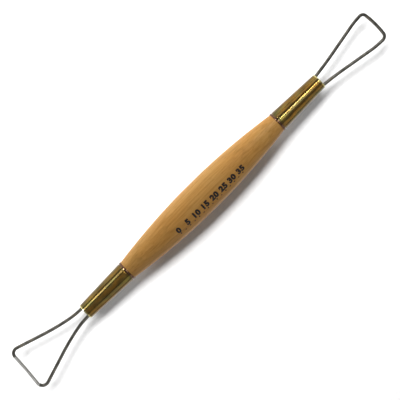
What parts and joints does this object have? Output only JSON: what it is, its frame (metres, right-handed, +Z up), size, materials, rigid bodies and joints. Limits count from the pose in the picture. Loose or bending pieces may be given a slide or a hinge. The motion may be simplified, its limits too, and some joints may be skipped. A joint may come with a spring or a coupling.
{
  "type": "clay modeling tool",
  "caption": "Double-ended clay modeling tool: barrel-shaped turned wooden handle, a tapered brass ferrule on each end, and a wide and a narrow steel wire loop.",
  "frame": {"origin": "the point of the handle's belly that the tool rests on, halfway along the handle", "axes": "+X along the handle towards the narrow loop, +Z up out of the handle's printed side, both loops flat in the plane of the handle's axis"},
  "size_m": [0.204, 0.0218, 0.0146],
  "materials": {
    "wood": "satin, fine straight grain",
    "brass": "tarnished, drawn and polished",
    "wire": "dark oxidised spring steel, worn",
    "adhesive": "dull amber resin",
    "ink": "worn black stamping ink"
  },
  "bodies": {
    "root": {"handle": "wood", "wide_ferrule": "brass", "narrow_ferrule": "brass", "wide_loop": "wire", "narrow_loop": "wire", "wide_adhesive": "adhesive", "narrow_adhesive": "adhesive"}
  },
  "joints": []
}
